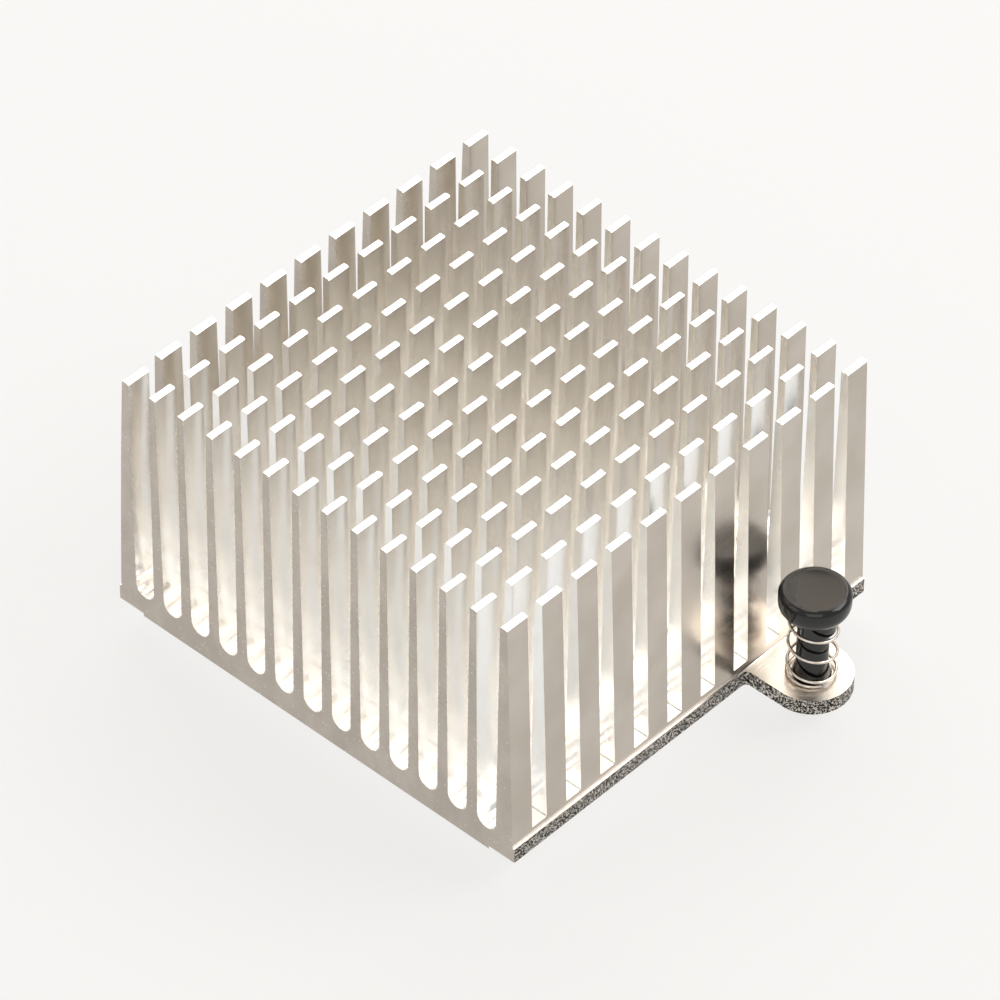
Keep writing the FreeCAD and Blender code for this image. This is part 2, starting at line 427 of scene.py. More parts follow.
def show(name: str, data: bpy.types.ID) -> bpy.types.Object:
    """Links a mesh, lamp or camera to the scene.

    Args:
        name: The object's name.
        data: What it shows.

    Returns:
        The object.
    """
    item = bpy.data.objects.new(name, data)
    bpy.context.scene.collection.objects.link(item)
    return item


def closed(shell: bmesh.types.BMesh, name: str) -> bpy.types.Mesh:
    """Turns a mesh that was just built into plain mesh data.

    Args:
        shell: The mesh, which is freed.
        name: Its name.

    Returns:
        The data.
    """
    mesh = bpy.data.meshes.new(name)
    shell.to_mesh(mesh)
    shell.free()
    return mesh


def run_tree(mesh: bpy.types.Mesh, tree: Tree, sizes: dict[str, float | int]) -> bpy.types.Mesh:
    """Runs a tree on a mesh and keeps what it makes as a plain mesh.

    Args:
        mesh: The mesh that the tree starts from.
        tree: The tree.
        sizes: Values of the tree's named inputs.

    Returns:
        The finished mesh.
    """
    holder = show(mesh.name, mesh)
    modifier = holder.modifiers.new(tree.name, "NODES")
    modifier.node_group = tree
    for item in tree.interface.items_tree:
        if item.in_out == "INPUT" and item.name in sizes:
            modifier[item.identifier] = sizes[item.name]
    bpy.context.view_layer.update()
    made = holder.evaluated_get(bpy.context.evaluated_depsgraph_get())
    result = bpy.data.meshes.new_from_object(made)
    bpy.data.objects.remove(holder)
    return result


def place_piece(mesh: bpy.types.Mesh, sharp_deg: float, name: str, body: str,
                node: str) -> bpy.types.Object:
    """Shows a finished mesh as a piece that stands for a node and moves with its body.

    Args:
        mesh: The finished mesh, in metres, in place.
        sharp_deg: Angle above which an edge stays sharp.
        name: The piece's name.
        body: Body that it rides on.
        node: Node that it replaces.

    Returns:
        The piece.
    """
    mesh.name = name
    mesh.shade_smooth()
    mesh.set_sharp_from_angle(angle=math.radians(sharp_deg))
    piece = show(name, mesh)
    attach(piece, body)
    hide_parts(node)
    mesh.calc_loop_triangles()
    LOG.info("%s: %d triangles on %s", name, len(mesh.loop_triangles), body)
    return piece


def arc_points(centre: tuple[float, float], radius: float, start_deg: float, end_deg: float,
               steps: int) -> list[tuple[float, float]]:
    """Points along an arc, both ends included.

    Args:
        centre: The arc's centre.
        radius: Its radius.
        start_deg: Angle of the first point.
        end_deg: Angle of the last point.
        steps: Number of stretches.

    Returns:
        The points.
    """
    angles = [math.radians(start_deg + (end_deg - start_deg) * i / steps) for i in range(steps + 1)]
    return [(centre[0] + radius * math.cos(a), centre[1] + radius * math.sin(a)) for a in angles]


@dataclass
class FinnedBody:
    """The aluminium piece: base plate, ears and the field of flat pins. Sizes in millimetres.

    Facing is how much of a face's normal has to point along an axis for it to face that way.
    """

    fins: int = 14
    fin_pitch: float = 3.2
    tip: float = 0.70
    draft_deg: float = 0.6
    tip_round: float = 0.19
    outer_tip: float = 0.75
    outer_lean_deg: float = 2.05
    height: float = 25.4
    valley_floor: float = 2.27
    pins_along: int = 11
    pin_length: float = 2.33
    kerf: float = 1.715
    saw_rise: float = 0.18
    saw_round: float = 0.08
    pad_inset: float = 2.75
    pad_step: float = 0.3
    flange: float = 1.5
    flange_stub: float = 0.2
    foot_round: float = 0.12
    ear_x: float = 10.1
    ear_reach: float = 3.95
    ear_radius: float = 3.55
    ear_root: float = 0.5
    hole_radius: float = 1.68
    milled_band: float = 0.03
    saw_band: float = 0.1
    facing: float = 0.7
    flank_facing: float = 0.9
    saw_angles: tuple[float, ...] = (0, 45, 90)
    valley_shares: tuple[float, ...] = (0.25, 0.6, 1.0)
    stem_shares: tuple[float, ...] = (0.33, 0.67, 1.0)
    tip_angles: tuple[float, ...] = (18, 36, 54, 72, 90)
    valley_steps: int = 8
    foot_steps: int = 5
    root_steps: int = 4
    ear_steps: int = 40
    hole_sides: int = 64
    sharp_deg: float = 17
    weld: float = 0.002
    uneven: float = 0.035
    uneven_seed: int = 7
    bent_pins: tuple[tuple[int, int, float, float], ...] = ((0, 13, 0.0, -0.30), (3, 0, 0.06, 0.15))
    finishes: dict[Metal, bpy.types.Material] = field(default_factory=dict)

    def __post_init__(self) -> None:
        """Works out the sizes that follow from the others."""
        self.pin_spacing = self.pin_length + self.kerf
        self.length = self.pins_along * self.pin_length + (self.pins_along - 1) * self.kerf
        self.saw_floor = self.valley_floor + self.saw_rise
        self.flange_top = self.pad_step + self.flange
        draft = math.radians(self.draft_deg)
        valley_half = (self.fin_pitch - self.tip) / 2 - (self.height - self.valley_floor) * math.tan(draft)
        self.valley_round = valley_half / math.tan(math.pi / 4 - draft / 2)
        self.last_fin = (self.fins - 1) / 2 * self.fin_pitch
        self.outer_lean = math.radians(self.outer_lean_deg)
        self.outer_tip_y = self.last_fin - self.tip / 2 + self.outer_tip
        self.foot_y = self.outer_tip_y + (self.height - self.flange_top) * math.tan(self.outer_lean)
        self.flange_y = self.foot_y + self.flange_stub
        self.ear_middle = (self.ear_x, -self.flange_y - self.ear_reach)

    def valley_reach(self, z: float) -> float:
        """Half the width of a valley at a height inside its round bottom."""
        return math.sqrt(self.valley_round**2 - (self.valley_floor + self.valley_round - z) ** 2)

    def flank(self, z: float, tip_half: float, lean: float) -> float:
        """Distance of a flank from its fin's middle at a height, tip rounding included.

        Args:
            z: The height.
            tip_half: Distance at the tip, before rounding.
            lean: Lean of the flank, in radians.

        Returns:
            The distance.
        """
        start = self.height - self.tip_round
        if z <= start:
            return tip_half + (self.height - z) * math.tan(lean)
        centre = tip_half + self.tip_round * math.tan(lean) - self.tip_round
        return centre + math.sqrt(max(self.tip_round**2 - (z - start) ** 2, 0))

    def levels(self) -> list[float]:
        """Works out the heights of a pin's cross-sections, close together at its foot and tip.

        Returns:
            The heights, from the saw's floor to the tip.
        """
        foot = [self.saw_floor + self.saw_round * (1 - math.cos(math.radians(a))) for a in self.saw_angles]
        valley_top = self.valley_floor + self.valley_round * (1 - math.sin(math.radians(self.draft_deg)))
        rise = valley_top - foot[-1]
        valley = [foot[-1] + rise * share for share in self.valley_shares]
        reach = self.height - self.tip_round - valley_top
        stem = [valley_top + reach * share for share in self.stem_shares]
        tip = [self.height - self.tip_round * (1 - math.sin(math.radians(a))) for a in self.tip_angles]
        return foot + valley + stem + tip

    def pin(self, outer: bool) -> bpy.types.Mesh:
        """Makes one pin about its own middle, open where it stands on the base.

        Args:
            outer: Whether it is one of the outermost fin on the -Y side.

        Returns:
            The pin's mesh.
        """
        shell = bmesh.new()
        rings = []
        for z in self.levels():
            lift = z - self.saw_floor
            flare = 0.0
            if lift < self.saw_round:
                flare = self.saw_round - math.sqrt(self.saw_round**2 - (self.saw_round - lift) ** 2)
            x = self.pin_length / 2 + flare
            inner_y = self.flank(z, self.tip / 2, math.radians(self.draft_deg))
            if z < self.valley_floor + self.valley_round:
                inner_y = max(inner_y, self.fin_pitch / 2 - self.valley_reach(z))
            outer_y = inner_y
            if outer:
                outer_y = self.flank(z, self.outer_tip - self.tip / 2, self.outer_lean)
            corners = [(x, inner_y), (-x, inner_y), (-x, -outer_y), (x, -outer_y)]
            rings.append([shell.verts.new(Vector((*corner, z)) * MM) for corner in corners])
        for low, high in zip(rings, rings[1:]):
            for i in range(4):
                shell.faces.new((low[i], low[(i + 1) % 4], high[(i + 1) % 4], high[i]))
        shell.faces.new(rings[-1])
        return closed(shell, "outer_pin" if outer else "pin")

    def pin_rows(self, outer: bool) -> bpy.types.Mesh:
        """Sets a pin out in rows along the extrusion, for the fins on the -Y side.

        Args:
            outer: Whether the row is the outermost fin, or else all the fins inside it.

        Returns:
            The rows' mesh.
        """
        rows = 1 if outer else self.fins // 2 - 1
        middle = (self.fins - 1) / 2 if outer else rows / 2
        sizes = {
            "Pins Along": self.pins_along,
            "Rows": rows,
            "Pin Spacing": self.pin_spacing * MM,
            "Fin Pitch": self.fin_pitch * MM,
            "Middle Row": -middle * self.fin_pitch * MM,
            "-X End": -self.length / 2 * MM,
            "+X End": self.length / 2 * MM,
        }
        tree, given = new_tree("pins in rows", sizes)
        get = given.outputs
        spans = {"Vertices X": get["Pins Along"], "Vertices Y": get["Rows"]}
        along = (("Size X", "Pins Along", "Pin Spacing"), ("Size Y", "Rows", "Fin Pitch"))
        for span, count, spacing in along:
            gaps = add(tree, "ShaderNodeMath", {0: get[count], 1: 1.0}, operation="SUBTRACT").outputs[0]
            reach = add(tree, "ShaderNodeMath", {0: gaps, 1: get[spacing]}, operation="MULTIPLY")
            spans[span] = reach.outputs[0]
        grid = add(tree, "GeometryNodeMeshGrid", spans)
        move = add(tree, "ShaderNodeCombineXYZ", {"Y": get["Middle Row"]}).outputs[0]
        points = add(tree, "GeometryNodeTransform", {"Geometry": grid.outputs[0], "Translation": move})
        stood = {"Points": points.outputs[0], "Instance": get["Geometry"]}
        pins = add(tree, "GeometryNodeInstanceOnPoints", stood)
        solid = add(tree, "GeometryNodeRealizeInstances", {0: pins.outputs[0]})
        place = add(tree, "ShaderNodeSeparateXYZ", {0: add(tree, "GeometryNodeInputPosition").outputs[0]})
        kept = {"Value": place.outputs[0], "Min": get["-X End"], "Max": get["+X End"]}
        x = add(tree, "ShaderNodeClamp", kept).outputs[0]
        inside = add(tree, "ShaderNodeCombineXYZ", {0: x, 1: place.outputs[1], 2: place.outputs[2]})
        flush = add(tree, "GeometryNodeSetPosition", {0: solid.outputs[0], "Position": inside.outputs[0]})
        metal = {0: flush.outputs[0], "Material": self.finishes[Metal.EXTRUDED]}
        dressed = add(tree, "GeometryNodeSetMaterial", metal)
        add(tree, "NodeGroupOutput", {0: dressed.outputs[0]})
        return run_tree(self.pin(outer), tree, sizes)

    def top_outline(self) -> list[tuple[float, float, bool]]:
        """Top of the half section on the -Y side, below the saw cuts, from the middle outwards.

        Returns:
            Points (y, z) with whether a pin may stand on the stretch that follows.
        """
        centre_z = self.valley_floor + self.valley_round
        edge = math.degrees(math.asin(self.valley_reach(self.saw_floor) / self.valley_round))
        points = []
        for k in range(self.fins // 2):
            centre = (-k * self.fin_pitch, centre_z)
            start, steps = (0, self.valley_steps // 2) if k == 0 else (edge, self.valley_steps)
            groove = arc_points(centre, self.valley_round, -90 + start, -90 - edge, steps)
            points += [(y, z, False) for y, z in groove[:-1]] + [(*groove[-1], True)]
        flank_y = self.outer_tip_y + (self.height - self.saw_floor) * math.tan(self.outer_lean)
        points.append((-flank_y, self.saw_floor, False))
        foot_centre = (-self.foot_y - self.foot_round, self.flange_top + self.foot_round)
        foot = arc_points(foot_centre, self.foot_round, self.outer_lean_deg, -90, self.foot_steps)
        return points + [(y, z, False) for y, z in foot]

    def stations(self) -> list[float]:
        """Finds the places along the extrusion where a pin's foot starts or ends.

        Returns:
            The places, from -X to +X.
        """
        half = self.length / 2
        places = []
        for i in range(self.pins_along):
            start = -half + i * self.pin_spacing
            places += [start - self.saw_round, start + self.pin_length + self.saw_round]
        return [-half] + places[1:-1] + [half]

    def flange_outline(self) -> list[tuple[float, float]]:
        """Follows the edge of the flange on the -Y side, round its ear.

        Returns:
            Points (x, y) from -X to +X.
        """
        half, reach, root = self.length / 2, self.ear_radius + self.ear_root, self.ear_root
        root_y = -self.flange_y - root
        left = arc_points((self.ear_x - reach, root_y), root, 90, 0, self.root_steps)
        end = arc_points(self.ear_middle, self.ear_radius, 180, 360, self.ear_steps)
        right = arc_points((self.ear_x + reach, root_y), root, 180, 90, self.root_steps)
        return [(-half, -self.flange_y)] + left + end + right + [(half, -self.flange_y)]

    def base_half(self) -> bmesh.types.BMesh:
        """Makes the base plate on the -Y side, open in the middle and where pins stand on it.

        Returns:
            The half plate's mesh.
        """
        shell = bmesh.new()

        def vert(x: float, y: float, z: float) -> bmesh.types.BMVert:
            """A new corner, from millimetres."""
            return shell.verts.new(Vector((x, y, z)) * MM)

        top, places = self.top_outline(), self.stations()
        grid = [[vert(x, y, z) for x in places] for y, z, _ in top]
        for i, (_, _, land) in enumerate(top[:-1]):
            for j in range(len(places) - 1):
                if not (land and j % 2 == 0):
                    corners = (grid[i][j], grid[i][j + 1], grid[i + 1][j + 1], grid[i + 1][j])
                    shell.faces.new(corners[::-1])

        outline = self.flange_outline()
        pad_y, half = -self.flange_y + self.pad_inset, self.length / 2
        self.plate(shell, grid[-1], [vert(x, y, self.flange_top) for x, y in outline], self.flange_top)
        pad = [vert(x, pad_y, self.pad_step) for x in (-half, half)]
        self.plate(shell, pad, [vert(x, y, self.pad_step) for x, y in outline], self.pad_step)
        step = [vert(x, pad_y, 0) for x in (-half, half)]
        middle = [vert(x, 0, 0) for x in (-half, half)]
        for low, high in ((step, pad), (middle, step)):
            shell.faces.new((low[0], low[1], high[1], high[0]))
        ring = arc_points(self.ear_middle, self.hole_radius, 0, 360, self.hole_sides)
        for line in (outline, ring):
            for (x0, y0), (x1, y1) in zip(line, line[1:]):
                corners = [(x0, y0, self.pad_step), (x1, y1, self.pad_step)]
                corners += [(x1, y1, self.flange_top), (x0, y0, self.flange_top)]
                shell.faces.new([vert(*corner) for corner in corners])
        for x in (-half, half):
            cap = [vert(x, y, z) for y, z, _ in top]
            cap += [vert(x, -self.flange_y, z) for z in (self.flange_top, self.pad_step)]
            cap += [vert(x, pad_y, self.pad_step), vert(x, pad_y, 0), vert(x, 0, 0)]
            shell.faces.new(cap)
        return shell

    def plate(self, shell: bmesh.types.BMesh, inner: list, outer: list, z: float) -> None:
        """Fills a level face of the flange and its ear, around the ear's hole.

        Args:
            shell: The mesh that gets the face.
            inner: Corners of the inner edge from -X to +X.
            outer: Corners of the outline from -X to +X.
            z: The face's height.
        """
        ring = arc_points(self.ear_middle, self.hole_radius, 0, 360, self.hole_sides)[:-1]
        hole = [shell.verts.new(Vector((x, y, z)) * MM) for x, y in ring]
        edges = []
        for loop in (inner + outer[::-1], hole):
            for first, second in zip(loop, loop[1:] + loop[:1]):
                edges.append(shell.edges.get((first, second)) or shell.edges.new((first, second)))
        bmesh.ops.triangle_fill(shell, use_beauty=True, edges=edges)

    def bend(self, shell: bmesh.types.BMesh) -> None:
        """Leans each pin a little at random, and the bent ones as far as they are bent.

        The pins at the two ends lean inwards only, so the ends stay where the model has them.

        Args:
            shell: The whole body's mesh.
        """
        chance = Random(self.uneven_seed)
        leans = {}
        for i in range(self.pins_along):
            for j in range(self.fins):
                x, y = [chance.uniform(-1, 1) * self.uneven for _ in range(2)]
                leans[i, j] = [{0: abs(x), self.pins_along - 1: -abs(x)}.get(i, x), y]
        for i, j, x, y in self.bent_pins:
            leans[i, j] = [x, y]
        for corner in shell.verts:
            x, y, z = corner.co / MM
            if z <= self.saw_floor + self.valley_round:
                continue
            i = round((x + (self.length - self.pin_length) / 2) / self.pin_spacing)
            j = round(y / self.fin_pitch + (self.fins - 1) / 2)
            share = ((z - self.saw_floor) / (self.height - self.saw_floor)) ** 2
            corner.co.x += leans[i, j][0] * share * MM
            corner.co.y += leans[i, j][1] * share * MM

    def surface(self, face: bpy.types.MeshPolygon) -> Metal:
        """Tells which tool made a face, and whether it gets one of the darker copies with painted shade.

        Args:
            face: A face of the whole body.

        Returns:
            The face's surface.
        """
        x, y, z = face.center / MM
        end = (self.length - self.pin_length - self.tip) / 2
        at_last_fin, outside = y > self.last_fin - self.tip, abs(y) > self.last_fin
        low, level = z < self.flange_top, abs(face.normal.z) > self.facing
        if abs(z - self.flange_top) < NEAR:
            return Metal.EAR_TOP
        if low and abs(y) > self.flange_y - self.milled_band:
            return Metal.EXTRUDED if level else Metal.MILLED
        if abs(face.normal.x) > self.facing:
            return Metal.OUTER_CUT if at_last_fin or abs(x) > end else Metal.SAWN
        if level and abs(z - self.saw_floor) < self.saw_band:
            return Metal.SAWN
        # Outermost flanks take the darker copy with painted shade, the last fin's inner flank a lighter one.
        exposed = outside or x > end or at_last_fin and x > self.tip - end
        if abs(face.normal.y) > self.flank_facing and exposed and not low:
            inner = face.normal.y < 0 and not outside and y > 0 and x < end
            return Metal.LAST_FIN if inner else Metal.OUTER_FLANK
        return Metal.EXTRUDED

    def build(self) -> bpy.types.Object:
        """Makes the whole aluminium piece.

        Returns:
            The piece.
        """
        shell = self.base_half()
        for outer in (False, True):
            shell.from_mesh(self.pin_rows(outer))
        turned = bmesh.ops.duplicate(shell, geom=shell.verts[:] + shell.edges[:] + shell.faces[:])["geom"]
        corners = [item for item in turned if isinstance(item, bmesh.types.BMVert)]
        bmesh.ops.rotate(shell, verts=corners, cent=(0, 0, 0), matrix=Side.B.turn.to_3x3())
        bmesh.ops.remove_doubles(shell, verts=shell.verts, dist=self.weld * MM)
        self.bend(shell)
        bmesh.ops.recalc_face_normals(shell, faces=shell.faces)
        LOG.info("open edges of the finned body: %d", sum(not edge.is_manifold for edge in shell.edges))
        mesh = closed(shell, "finned_body")
        for metal in Metal:
            mesh.materials.append(self.finishes[metal])
        for face in mesh.polygons:
            face.material_index = self.surface(face).value
        return place_piece(mesh, self.sharp_deg, "finned_body", "sink", "heat_sink")


@dataclass
class PushPin:
    """The nylon push pin: dished head, shank with a lobe, split leg and barbs. Millimetres.

    The rim's points are out from the head's side and down from its top. Spare sets the size of
    the blocks that cut the leg, which reach well past it.
    """

    axis: tuple[float, float] = EAR_AXIS
    flange_top: float = EAR_TOP
    head_above_ear: float = 9.25
    head: float = 6.08
    head_side: float = 1.2
    rim: tuple[tuple[float, float], ...] = ((-0.42, 0.0), (-0.32, 0.03), (-0.05, 0.32), (0.0, 0.44))
    under_round: float = 1.25
    dish: float = 4.9
    dish_depth: float = 0.15
    shank: float = 2.71
    lobe: float = 3.0
    lobe_offset: float = 0.36
    lobe_angle_deg: float = -47.5
    lobe_length: float = 1.75
    lobe_overlap: float = 0.1
    leg: float = 3.2
    leg_above_ear: float = 0.55
    leg_taper: float = 0.7
    slot: float = 0.8
    slot_in_ear: float = 1.0
    barb: float = 4.2
    barb_top: float = 0.25
    barb_land: float = 0.35
    barb_length: float = 2.4
    barb_break: float = 0.06
    barb_tip: float = 2.0
    barb_tip_break: float = 0.12
    barb_tip_flat: float = 0.05
    barb_flats: float = 3.0
    edge_round: float = 0.1
    spare: float = 2.0
    around: int = 96
    dish_steps: int = 12
    under_steps: int = 14
    lobe_sides: int = 64
    sharp_deg: float = 38
    finish: bpy.types.Material | None = None

    def outline(self) -> list[tuple[float, float]]:
        """Follows the half section from the middle of the dish to the tip.

        Returns:
            Points (radius, height).
        """
        top = self.flange_top + self.head_above_ear
        reach = self.dish / 2
        ball = (reach**2 + self.dish_depth**2) / (2 * self.dish_depth)
        swing = math.degrees(math.asin(reach / ball))
        dish = arc_points((0, top - self.dish_depth + ball), ball, -90, -90 + swing, self.dish_steps)
        head, r = self.head / 2, self.edge_round
        rim = [(head + out, top - down) for out, down in self.rim]
        under_centre = (head - self.under_round, top - self.head_side)
        under = arc_points(under_centre, self.under_round, 0, -90, self.under_steps)
        shank, leg = self.shank / 2, self.leg / 2
        leg_top = self.flange_top + self.leg_above_ear
        stem = [(shank + r, under[-1][1]), (shank, under[-1][1] - r), (shank, leg_top + self.leg_taper)]
        stem += [(leg, leg_top), (leg, self.barb_top)]
        barb, tip_radius = self.barb / 2, self.barb_tip / 2
        tip = self.barb_top - self.barb_length
        end = [(barb - self.barb_break, self.barb_top), (barb, self.barb_top - self.barb_break)]
        end += [(barb, self.barb_top - self.barb_land)]
        end += [(tip_radius + self.barb_tip_break, tip + self.barb_tip_break)]
        end += [(tip_radius - self.barb_tip_flat, tip), (0, tip)]
        return dish + rim + under + stem + end

    def turned(self) -> bpy.types.Mesh:
        """Turns the outline about the pin's own axis.

        Returns:
            The round part's mesh.
        """
        shell = bmesh.new()
        rings = []
        for radius, z in self.outline():
            if radius < NEAR:
                rings.append([shell.verts.new(Vector((0, 0, z)) * MM)])
                continue
            angles = [2 * math.pi * i / self.around for i in range(self.around)]
            spots = [(radius * math.cos(a), radius * math.sin(a), z) for a in angles]
            rings.append([shell.verts.new(Vector(spot) * MM) for spot in spots])
        for high, low in zip(rings, rings[1:]):
            for i in range(self.around):
                k = (i + 1) % self.around
                ring = [high[i % len(high)], low[i % len(low)], low[k % len(low)], high[k % len(high)]]
                shell.faces.new(list(dict.fromkeys(ring)))
        bmesh.ops.recalc_face_normals(shell, faces=shell.faces)
        return closed(shell, "push_pin")

    def block(self, size: tuple[float, float, float], centre: tuple[float, float, float]) -> bpy.types.Object:
        """Makes a box that cuts the pin.

        Args:
            size: Its size along X, Y and Z.
            centre: Its middle.

        Returns:
            The box, for a Boolean modifier.
        """
        shell = bmesh.new()
        bmesh.ops.create_cube(shell, size=1)
        bmesh.ops.scale(shell, vec=Vector(size) * MM, verts=shell.verts)
        bmesh.ops.translate(shell, vec=Vector(centre) * MM, verts=shell.verts)
        return show("block", closed(shell, "block"))

    def lobe_rod(self) -> bpy.types.Object:
        """Makes the round lobe beside the shank, close under the head.

        Returns:
            The rod, for a Boolean modifier.
        """
        angle = math.radians(self.lobe_angle_deg)
        underside = self.flange_top + self.head_above_ear - self.head_side - self.under_round
        middle = Vector((math.cos(angle) * self.lobe_offset, math.sin(angle) * self.lobe_offset, 0))
        middle.z = underside - self.lobe_length / 2 + self.lobe_overlap
        radius, length = self.lobe / 2 * MM, (self.lobe_length + 2 * self.lobe_overlap) * MM
        shell = bmesh.new()
        bmesh.ops.create_cone(shell, cap_ends=True, segments=self.lobe_sides, radius1=radius, radius2=radius,
                              depth=length, matrix=Matrix.Translation(middle * MM))
        return show("lobe", closed(shell, "lobe"))

    def mesh(self) -> bpy.types.Mesh:
        """Adds the lobe to the turned part, cuts its slot and flats, and moves it over the ear's hole.

        Returns:
            The whole push pin's mesh.
        """
        holder = show("push_pin", self.turned())
        tip = self.barb_top - self.barb_length
        slot_top = self.flange_top - self.slot_in_ear
        slot_size = (self.slot, 3 * self.spare, slot_top - tip + self.spare)
        slot = self.block(slot_size, (0, 0, (slot_top + tip - self.spare) / 2))
        tools = [(self.lobe_rod(), "UNION"), (slot, "DIFFERENCE")]
        for side in (-1, 1):
            centre = (0, side * (self.barb_flats / 2 + self.spare), self.barb_top - self.spare)
            tools.append((self.block((4 * self.spare, 2 * self.spare, 2 * self.spare), centre), "DIFFERENCE"))
        for tool, operation in tools:
            cut = holder.modifiers.new(operation, "BOOLEAN")
            cut.object, cut.operation, cut.solver = tool, operation, "EXACT"
        result = bpy.data.meshes.new_from_object(holder.evaluated_get(bpy.context.evaluated_depsgraph_get()))
        for item in [holder] + [tool for tool, _ in tools]:
            bpy.data.objects.remove(item)
        result.transform(Matrix.Translation(Vector((*self.axis, 0)) * MM))
        return result

    def build(self, side: Side) -> bpy.types.Object:
        """Makes one push pin.

        Args:
            side: Which of the two.

        Returns:
            The piece.
        """
        mesh = self.mesh()
        mesh.transform(side.turn)
        mesh.materials.clear()
        mesh.materials.append(self.finish)
        name, body = f"push_pin_{side.letter}", f"pin_{side.letter}"
        return place_piece(mesh, self.sharp_deg, f"{name}_moulding", body, name)


@dataclass
class CoilSpring:
    """The left-hand coil spring between the ear and the push pin's head. Millimetres."""

    axis: tuple[float, float] = EAR_AXIS
    wire: float = 0.27
    outer: float = 4.36
    seat: float = EAR_TOP
    top: float = 8.626
    clearance: float = 0.03
    closed_turns: float = 1.0
    closed_pitch: float = 0.40
    turns: float = 3.68
    start_deg: float = -115.5
    travel: float = 4.0
    points: int = 220
    wire_sides: int = 12
    sharp_deg: float = 50
    finish: bpy.types.Material | None = None

    def coil(self) -> bpy.types.Mesh:
        """Runs the wire round the coil's path: closed turns below, then open ones.

        Returns:
            The coil's mesh, about the ear's axis.
        """
        low = self.seat + self.wire / 2 + self.clearance
        rise = self.top - self.wire / 2 - self.clearance - low - self.closed_turns * self.closed_pitch
        sizes = {
            "Points": self.points,
            "Wire Sides": self.wire_sides,
            "Coil Radius": (self.outer - self.wire) / 2 * MM,
            "Wire Radius": self.wire / 2 * MM,
            "Turns": self.turns,
            "Closed Turns": self.closed_turns,
            "Closed Pitch": self.closed_pitch * MM,
            "Open Pitch": rise / (self.turns - self.closed_turns) * MM,
            "First Height": low * MM,
            "Start Angle": math.radians(self.start_deg),
        }
        tree, given = new_tree("wire round a coil", sizes)
        get = given.outputs
        line = add(tree, "GeometryNodeCurvePrimitiveLine", {"End": (0, 0, 1)})
        spaced = add(tree, "GeometryNodeResampleCurve", {"Curve": line.outputs[0], "Count": get["Points"]})
        share = add(tree, "GeometryNodeSplineParameter").outputs["Factor"]
        out = {}
        for name, operation, *values in (
            ("turned", "MULTIPLY", share, get["Turns"]),
            ("angle", "MULTIPLY_ADD", "turned", -2 * math.pi, get["Start Angle"]),
            ("cosine", "COSINE", "angle"),
            ("sine", "SINE", "angle"),
            ("x", "MULTIPLY", "cosine", get["Coil Radius"]),
            ("y", "MULTIPLY", "sine", get["Coil Radius"]),
            ("closed", "MINIMUM", "turned", get["Closed Turns"]),
            ("open", "SUBTRACT", "turned", "closed"),
            ("first", "MULTIPLY_ADD", "closed", get["Closed Pitch"], get["First Height"]),
            ("z", "MULTIPLY_ADD", "open", get["Open Pitch"], "first"),
        ):
            inputs = {i: out[value] if isinstance(value, str) else value for i, value in enumerate(values)}
            out[name] = add(tree, "ShaderNodeMath", inputs, operation=operation).outputs[0]
        spot = add(tree, "ShaderNodeCombineXYZ", {0: out["x"], 1: out["y"], 2: out["z"]})
        path = add(tree, "GeometryNodeSetPosition", {0: spaced.outputs[0], "Position": spot.outputs[0]})
        round_wire = {"Resolution": get["Wire Sides"], "Radius": get["Wire Radius"]}
        ring = add(tree, "GeometryNodeCurvePrimitiveCircle", round_wire)
        swept = {0: path.outputs[0], 1: ring.outputs[0], "Fill Caps": True}
        tube = add(tree, "GeometryNodeCurveToMesh", swept)
        solid = add(tree, "GeometryNodeRealizeInstances", {0: tube.outputs[0]})
        dressed = add(tree, "GeometryNodeSetMaterial", {0: solid.outputs[0], "Material": self.finish})
        add(tree, "NodeGroupOutput", {0: dressed.outputs[0]})
        return run_tree(bpy.data.meshes.new("coil"), tree, sizes)

    def build(self, side: Side) -> bpy.types.Object:
        """Makes one spring.

        Args:
            side: Which of the two.

        Returns:
            The piece.
        """
        mesh = self.coil()
        mesh.transform(side.turn @ Matrix.Translation(Vector((*self.axis, 0)) * MM))
        name = f"spring_{side.letter}"
        piece = place_piece(mesh, self.sharp_deg, f"{name}_coil", "sink", name)
        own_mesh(piece)
        return piece


@dataclass(frozen=True)
class Softbox:
    """An evenly lit panel that faces the object.

    Angles are in degrees and lengths in metres. A glow of one looks white in a mirror.
    """

    name: str
    azimuth_deg: float
    elevation_deg: float
    size: tuple[float, float]
    glow: float
    colour: str = "#fffcf8"
    shift: tuple[float, float] = (0.0, 0.0)
    distance: float = 0.6


